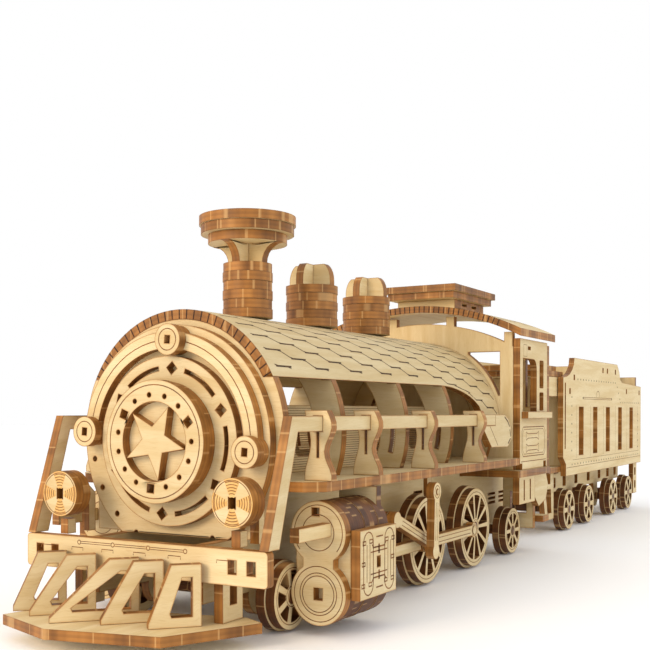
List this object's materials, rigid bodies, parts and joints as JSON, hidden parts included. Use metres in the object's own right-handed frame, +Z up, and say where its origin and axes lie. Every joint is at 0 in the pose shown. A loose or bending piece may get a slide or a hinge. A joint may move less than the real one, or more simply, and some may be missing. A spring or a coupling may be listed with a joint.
{
  "type": "wooden 3d jigsaw train",
  "caption": "Push-together plywood steam locomotive and tender, with spoked wheels, rods, kerf-bent boiler and cab.",
  "frame": {"origin": "on the rails' level under the middle of the whole train", "axes": "+X forwards along the train, +Y to the train's left, +Z up"},
  "size_m": [0.351, 0.0738, 0.0883],
  "materials": {
    "pale_ply": "laser-cut birch ply, bare, with burnt edges",
    "burnt_stack": "stacked laser-cut ply with the burnt edges showing",
    "bent_ply": "laser-cut birch ply, slit so that it bends"
  },
  "bodies": {
    "locomotive": {"pilot_base": "pale_ply", "pilot_bars": "pale_ply", "pilot_brackets": "pale_ply", "buffer_beam": "pale_ply", "lamp_brackets": "pale_ply", "lamps": "burnt_stack", "handrails": "pale_ply", "handrail_posts": "pale_ply", "handrail_brackets": "pale_ply", "running_board": "pale_ply", "cab_floor": "pale_ply", "frame_sides": "pale_ply", "frame_spacers": "pale_ply", "star": "pale_ply", "door_disc": "pale_ply", "door_ring": "pale_ply", "hoop": "pale_ply", "smokebox_plate": "pale_ply", "boiler_formers": "pale_ply", "boiler_sheet": "bent_ply", "core_sides": "pale_ply", "chimney_rings": "burnt_stack", "chimney_rim": "burnt_stack", "dome_rings": "burnt_stack", "stack_fins_long": "pale_ply", "stack_fins_cross": "pale_ply", "cylinder_plates": "burnt_stack", "cylinder_fronts": "pale_ply", "cylinder_panels": "pale_ply", "valve_rods": "pale_ply", "lever_hangers": "pale_ply", "cab_front_wall": "pale_ply", "cab_sides": "pale_ply", "cab_sills": "pale_ply", "cab_rear_posts": "pale_ply", "cab_roof": "bent_ply", "clerestory": "pale_ply", "cab_steps": "pale_ply", "drawbar": "pale_ply"},
    "leading_wheels": {"leading_wheelset": "burnt_stack"},
    "driving_wheels_1": {"driver_1_wheelset": "burnt_stack"},
    "driving_wheels_2": {"driver_2_wheelset": "burnt_stack"},
    "trailing_wheels": {"trailing_wheelset": "burnt_stack"},
    "side_rods": {"side_rods": "pale_ply"},
    "main_rods": {"main_rods": "pale_ply"},
    "pistons": {"pistons": "pale_ply"},
    "link_levers": {"link_levers": "pale_ply"},
    "tender": {"tender_floor": "pale_ply", "tender_sides": "pale_ply", "tender_slats": "pale_ply", "tender_walls": "pale_ply", "tender_deck": "pale_ply", "tender_doors": "pale_ply", "tender_trusses": "pale_ply", "tender_steps": "pale_ply", "tender_lamp": "pale_ply"},
    "tender_wheels_1": {"tender_wheelset_1": "burnt_stack"},
    "tender_wheels_2": {"tender_wheelset_2": "burnt_stack"},
    "tender_wheels_3": {"tender_wheelset_3": "burnt_stack"},
    "tender_wheels_4": {"tender_wheelset_4": "burnt_stack"}
  },
  "joints": [
    {"name": "leading_axle_spin", "type": "hinge", "parent": "locomotive", "child": "leading_wheels", "pos_m": [0.13635, 0, 0.00725], "axis": [0, 1, 0], "continuous": true},
    {"name": "driving_axle_1_spin", "type": "hinge", "parent": "locomotive", "child": "driving_wheels_1", "pos_m": [0.07305, 0, 0.0117], "axis": [0, 1, 0], "continuous": true},
    {"name": "driving_axle_2_spin", "type": "hinge", "parent": "locomotive", "child": "driving_wheels_2", "pos_m": [0.04045, 0, 0.0117], "axis": [0, 1, 0], "continuous": true},
    {"name": "trailing_axle_spin", "type": "hinge", "parent": "locomotive", "child": "trailing_wheels", "pos_m": [0.00855, 0, 0.00745], "axis": [0, 1, 0], "continuous": true},
    {"name": "side_rods_turn", "type": "hinge", "parent": "driving_wheels_1", "child": "side_rods", "pos_m": [0.07985, 0, 0.0117], "axis": [0, 1, 0], "continuous": true},
    {"name": "main_rods_turn", "type": "hinge", "parent": "driving_wheels_1", "child": "main_rods", "pos_m": [0.07985, 0, 0.0117], "axis": [0, 1, 0], "continuous": true},
    {"name": "pistons_slide", "type": "slide", "parent": "locomotive", "child": "pistons", "axis": [-1, 0, 0], "range_m": [0, 0.0136]},
    {"name": "link_levers_swing", "type": "hinge", "parent": "locomotive", "child": "link_levers", "pos_m": [0.08575, 0, 0.0252], "axis": [0, 1, 0], "range_deg": [-10, 10]},
    {"name": "drawbar_pivot", "type": "hinge", "parent": "locomotive", "child": "tender", "pos_m": [-0.01605, 0, 0.0224], "axis": [0, 0, 1], "range_deg": [-15, 15]},
    {"name": "tender_axle_1_spin", "type": "hinge", "parent": "tender", "child": "tender_wheels_1", "pos_m": [-0.06275, 0, 0.00785], "axis": [0, 1, 0], "continuous": true},
    {"name": "tender_axle_2_spin", "type": "hinge", "parent": "tender", "child": "tender_wheels_2", "pos_m": [-0.08985, 0, 0.00785], "axis": [0, 1, 0], "continuous": true},
    {"name": "tender_axle_3_spin", "type": "hinge", "parent": "tender", "child": "tender_wheels_3", "pos_m": [-0.12845, 0, 0.00785], "axis": [0, 1, 0], "continuous": true},
    {"name": "tender_axle_4_spin", "type": "hinge", "parent": "tender", "child": "tender_wheels_4", "pos_m": [-0.15615, 0, 0.00785], "axis": [0, 1, 0], "continuous": true}
  ],
  "couplings": [
    {"joint": "driving_axle_2_spin", "follows": "driving_axle_1_spin", "ratio": 1},
    {"joint": "side_rods_turn", "follows": "driving_axle_1_spin", "ratio": -1},
    {"joint": "main_rods_turn", "follows": "driving_axle_1_spin", "ratio": -1}
  ]
}
